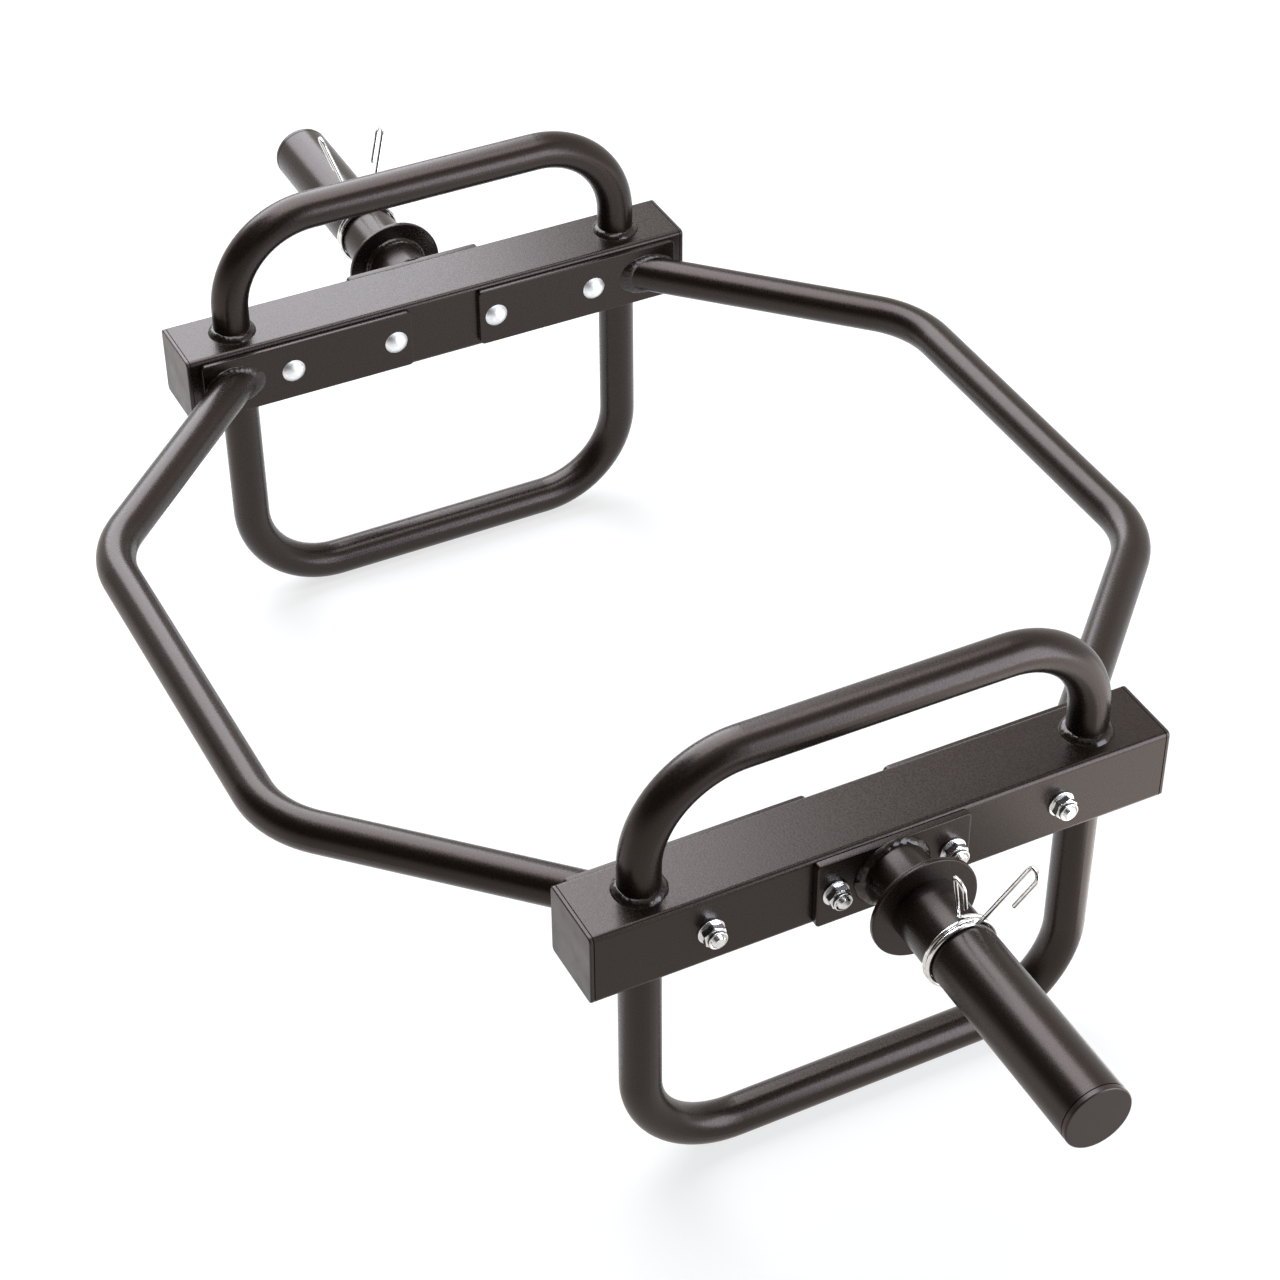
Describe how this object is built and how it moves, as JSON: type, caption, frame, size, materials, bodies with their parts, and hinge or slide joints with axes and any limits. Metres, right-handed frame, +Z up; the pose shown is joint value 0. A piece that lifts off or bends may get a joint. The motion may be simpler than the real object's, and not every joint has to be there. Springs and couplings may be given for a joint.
{
  "type": "hex trap bar",
  "caption": "Hexagonal trap bar: box end beams with raised and floor-level handles, bolted bent rails, and round plate sleeves with stop discs and wire spring clips.",
  "frame": {"origin": "on the floor under the middle of the frame, midway between the two end beams", "axes": "+X along the right loading sleeve, +Y towards the front rail, +Z up; the bar stands on its two lower loops"},
  "size_m": [1.322, 0.7476, 0.386],
  "materials": {
    "black_coat": "satin black powder coat",
    "coated_bead": "glossy black coat over a weld bead",
    "cap_plastic": "fine matte",
    "zinc_steel": "bright zinc plate",
    "spring_wire": "polished plated wire"
  },
  "bodies": {
    "bar": {"right_beam": "black_coat", "right_upper_handle": "black_coat", "right_lower_loop": "black_coat", "right_sleeve_plate": "black_coat", "right_sleeve_tube": "black_coat", "right_collar_disc": "black_coat", "right_front_rail_plate": "black_coat", "right_front_beam_cap": "cap_plastic", "right_rear_rail_plate": "black_coat", "right_rear_beam_cap": "cap_plastic", "right_sleeve_cap": "cap_plastic", "right_carriage_bolts": "zinc_steel", "right_washers": "zinc_steel", "right_lock_nuts": "zinc_steel", "right_foot_welds": "coated_bead", "right_sleeve_welds": "coated_bead", "left_beam": "black_coat", "left_upper_handle": "black_coat", "left_lower_loop": "black_coat", "left_sleeve_plate": "black_coat", "left_sleeve_tube": "black_coat", "left_collar_disc": "black_coat", "left_front_rail_plate": "black_coat", "left_front_beam_cap": "cap_plastic", "left_rear_rail_plate": "black_coat", "left_rear_beam_cap": "cap_plastic", "left_sleeve_cap": "cap_plastic", "left_carriage_bolts": "zinc_steel", "left_washers": "zinc_steel", "left_lock_nuts": "zinc_steel", "left_foot_welds": "coated_bead", "left_sleeve_welds": "coated_bead", "front_rail": "black_coat", "front_rail_welds": "coated_bead", "rear_rail": "black_coat", "rear_rail_welds": "coated_bead"},
    "right_clip": {"right_spring_clip": "spring_wire"},
    "left_clip": {"left_spring_clip": "spring_wire"}
  },
  "joints": [
    {"name": "right_clip_slide", "type": "slide", "parent": "bar", "child": "right_clip", "axis": [1, 0, 0], "range_m": [-0.039, 0.178]},
    {"name": "left_clip_slide", "type": "slide", "parent": "bar", "child": "left_clip", "axis": [-1, 0, 0], "range_m": [-0.051, 0.166]}
  ]
}
